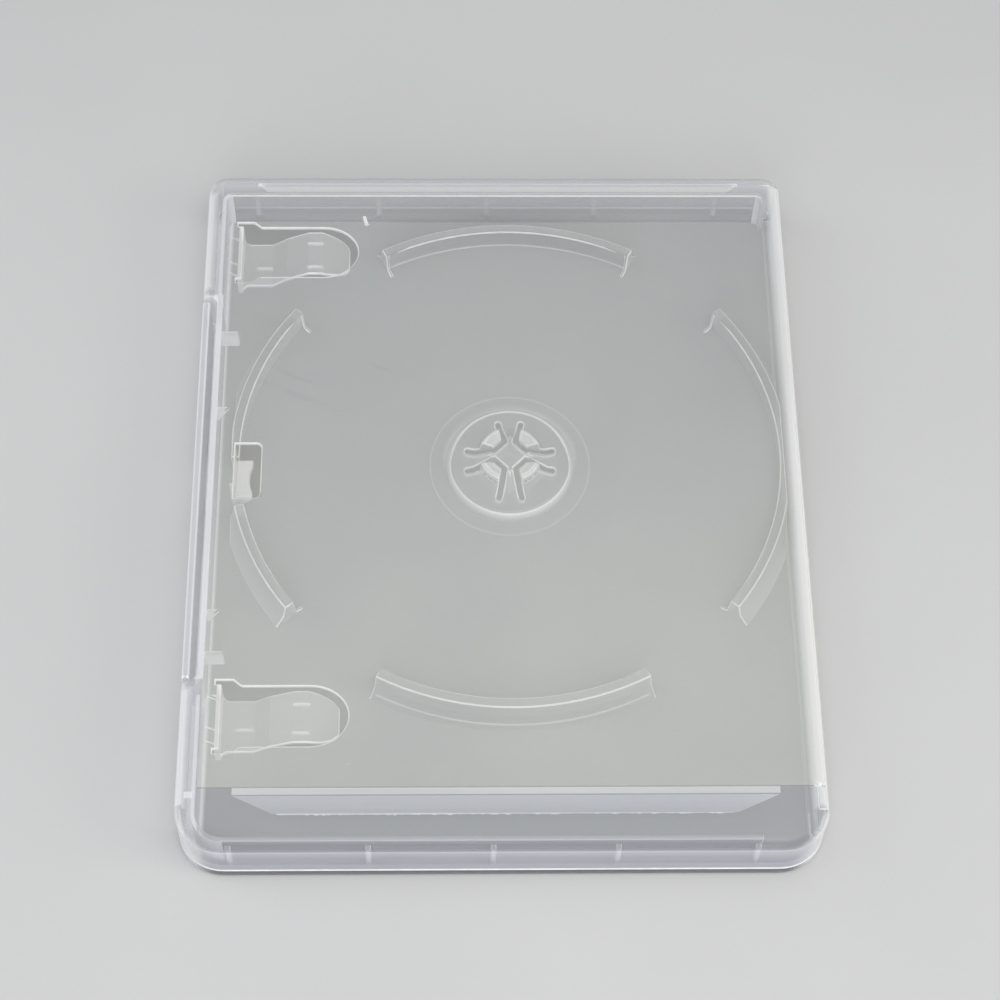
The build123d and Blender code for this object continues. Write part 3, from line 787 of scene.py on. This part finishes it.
# Faces of the near stop: painted near white and bluish, as painted light gathered in the stop
lid_stop = moulded(
    "lid_stop",
    plate=LID_PLATE,
    wall=(0.93, 0.95, 1.0),
    plate_density=LID_DENSITY,
    wall_density=0.88,
    passed=LID_PASSED,
)
# The far stop, the near stop's foot, the notch, faces of the clips, narrow undersides and the flash:
# painted white on both sides, partly the denser plastic and partly painted light gathered in them
lid_under = moulded(
    "lid_under",
    plate=LID_WHITE,
    wall=LID_WHITE,
    plate_density=0.95,
    wall_density=0.95,
    passed=LID_PASSED,
    both_sides=True,
)
# The lid's ends: walls painted darker and bluer as painted shade, lighter at their tops as painted light,
# with painted shade on the rounded header edge and a painted highlight where it meets the wall
lid_rim = moulded(
    "lid_rim",
    plate=LID_PLATE,
    wall=(0.58, 0.58, 0.65),
    plate_density=LID_DENSITY,
    wall_density=0.52,
    passed=LID_PASSED,
    fillet_shade=(0.345, 0.35, 0.39),
    brow_light=(0.82, 0.82, 0.88),
)
lid_clip = moulded(
    "lid_clip",
    plate=(0.71, 0.73, 0.735),
    wall=(0.72, 0.74, 0.745),
    plate_density=0.40,
    wall_density=0.40,
    passed=LID_PASSED,
    side=None,
)
lid_latch = moulded(
    "lid_latch",
    plate=(0.93, 0.94, 0.94),
    wall=(0.97, 0.97, 0.98),
    plate_density=0.66,
    wall_density=0.74,
    passed=LID_PASSED,
)
lid_grip = moulded(
    "lid_grip",
    plate=LID_WHITE,
    wall=LID_WHITE,
    plate_density=0.4,
    wall_density=0.4,
    passed=LID_PASSED,
    both_sides=True,
)
base_plastic = moulded(
    "base_plastic",
    plate=BASE_PLATE,
    wall=(0.755, 0.77, 0.805),
    plate_density=BASE_DENSITY,
    wall_density=0.62,
    passed=BASE_PASSED,
    side=(0.90, 0.905, 0.92),
    ledge=(0.95, 0.96, 1.0),
)
base_edge = moulded_edge("base_edge", tint=(0.97, 0.97, 0.96), density=1.0, passed=0.5, both_sides=True)
base_hub = hub_seat("base_hub", tint=BASE_PLATE, density=BASE_DENSITY, passed=BASE_PASSED)
base_finger = moulded(
    "base_finger",
    plate=(0.91, 0.915, 0.91),
    wall=(0.91, 0.91, 0.91),
    plate_density=0.7,
    wall_density=0.7,
    passed=BASE_PASSED,
    side=None,
)
# The base's end walls: painted darker and bluer as painted shade, with a painted highlight at their foot
base_end = moulded(
    "base_end",
    plate=(0.46, 0.475, 0.51),
    wall=(0.405, 0.42, 0.465),
    plate_density=BASE_DENSITY,
    wall_density=0.50,
    passed=0.6,
    foot=(0.97, 0.97, 0.95),
)
# Faces of the base's ends below the rim top: painted near black, as painted shade
base_outer_shade = moulded(
    "base_outer_shade",
    plate=BASE_PLATE,
    wall=(0.17, 0.175, 0.20),
    plate_density=BASE_DENSITY,
    wall_density=BASE_DENSITY,
    passed=BASE_PASSED,
)
base_rib = moulded(
    "base_rib",
    plate=(0.96, 0.96, 0.98),
    wall=(0.96, 0.96, 0.99),
    plate_density=0.9,
    wall_density=0.9,
    passed=0.5,
    both_sides=True,
)
# The base's side at the opening edge: painted lighter, as painted light where the walls shade it
base_side = moulded(
    "base_side",
    plate=(0.64, 0.65, 0.68),
    wall=(0.76, 0.77, 0.79),
    plate_density=0.7,
    wall_density=0.6,
    passed=0.8,
    side=(0.95, 0.955, 0.97),
)
base_arc = moulded(
    "base_arc",
    plate=(0.62, 0.63, 0.63),
    wall=(0.66, 0.67, 0.685),
    plate_density=0.48,
    wall_density=0.42,
    passed=0.5,
    both_sides=True,
)
spine_plastic = moulded(
    "spine_plastic",
    plate=(0.93, 0.93, 0.91),
    wall=(0.95, 0.95, 0.93),
    plate_density=0.75,
    wall_density=0.80,
    passed=0.4,
)
spine_edge = moulded_edge("spine_edge", tint=(0.95, 0.95, 0.93), density=0.5, passed=0.4)

lid_zones = (lid_stop, lid_under, lid_rim, lid_clip, lid_latch, lid_grip)
dressed("front_cover", "front_cover", (lid_plastic, lid_edge, *lid_zones), lid_zone)
base_zones = (base_hub, base_finger, base_end, base_outer_shade, base_rib, base_side, base_arc)
dressed("back_cover", "back_cover", (base_plastic, base_edge, *base_zones), base_zone)
dressed("spine", "spine", (spine_plastic, spine_edge))
stop_flash(lid_under)
for node, axis, outward in FILM_PANELS:
    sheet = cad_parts[node]
    sheet.visible_shadow = False
    sheet.data.materials.clear()
    sheet.data.materials.append(clear_film(node + "_clear", axis, outward, marked=node == "film_front"))


# Floor, light and camera
def floor():
    bpy.ops.mesh.primitive_plane_add(size=FLOOR_SIZE, location=(0.0, 0.0, FLOOR_HEIGHT))
    made = bpy.context.object
    made.name = "floor"
    made.data.materials.append(pale_floor("pale_floor"))


def lamp(name, place, size, power, tint):
    """Large soft lamp that faces the case."""
    light = bpy.data.lights.new(name, "AREA")
    light.shape = "DISK"
    light.size = size
    light.energy = power
    light.color = tint
    made = bpy.data.objects.new(name, light)
    made.location = Vector(place)
    made.rotation_mode = "QUATERNION"
    made.rotation_quaternion = (-Vector(place)).to_track_quat("-Z", "Y")
    bpy.context.scene.collection.objects.link(made)


floor()
for name, settings in LAMPS.items():
    lamp(name, *settings)

world = bpy.data.worlds.new("studio")
world.use_nodes = True
background = world.node_tree.nodes["Background"]
background.inputs["Color"].default_value = paint(ROOM_TINT)
background.inputs["Strength"].default_value = ROOM_STRENGTH
bpy.context.scene.world = world

camera_data = bpy.data.cameras.new("camera")
camera_data.sensor_width = SENSOR_WIDTH
camera_data.lens = FOCAL_PIXELS * SENSOR_WIDTH / IMAGE_SIDE
camera_data.clip_start = NEAREST_SEEN
camera = bpy.data.objects.new("camera", camera_data)
turn = Quaternion((0.0, 0.0, 1.0), VIEW_AZIMUTH)
tilt = Quaternion((1.0, 0.0, 0.0), radians(90) - VIEW_ELEVATION)
roll = Quaternion((0.0, 0.0, 1.0), VIEW_ROLL)
camera.rotation_mode = "QUATERNION"
camera.rotation_quaternion = turn @ tilt @ roll
camera.location = VIEW_TARGET + camera.rotation_quaternion @ Vector((0.0, 0.0, VIEW_DISTANCE))
bpy.context.scene.collection.objects.link(camera)
bpy.context.scene.camera = camera

bpy.context.scene.view_settings.view_transform = "Standard"
bpy.context.scene.cycles.transparent_max_bounces = CLEAR_LAYERS
bpy.context.scene.cycles.diffuse_bounces = LIGHT_BOUNCES
bpy.context.scene.cycles.glossy_bounces = LIGHT_BOUNCES
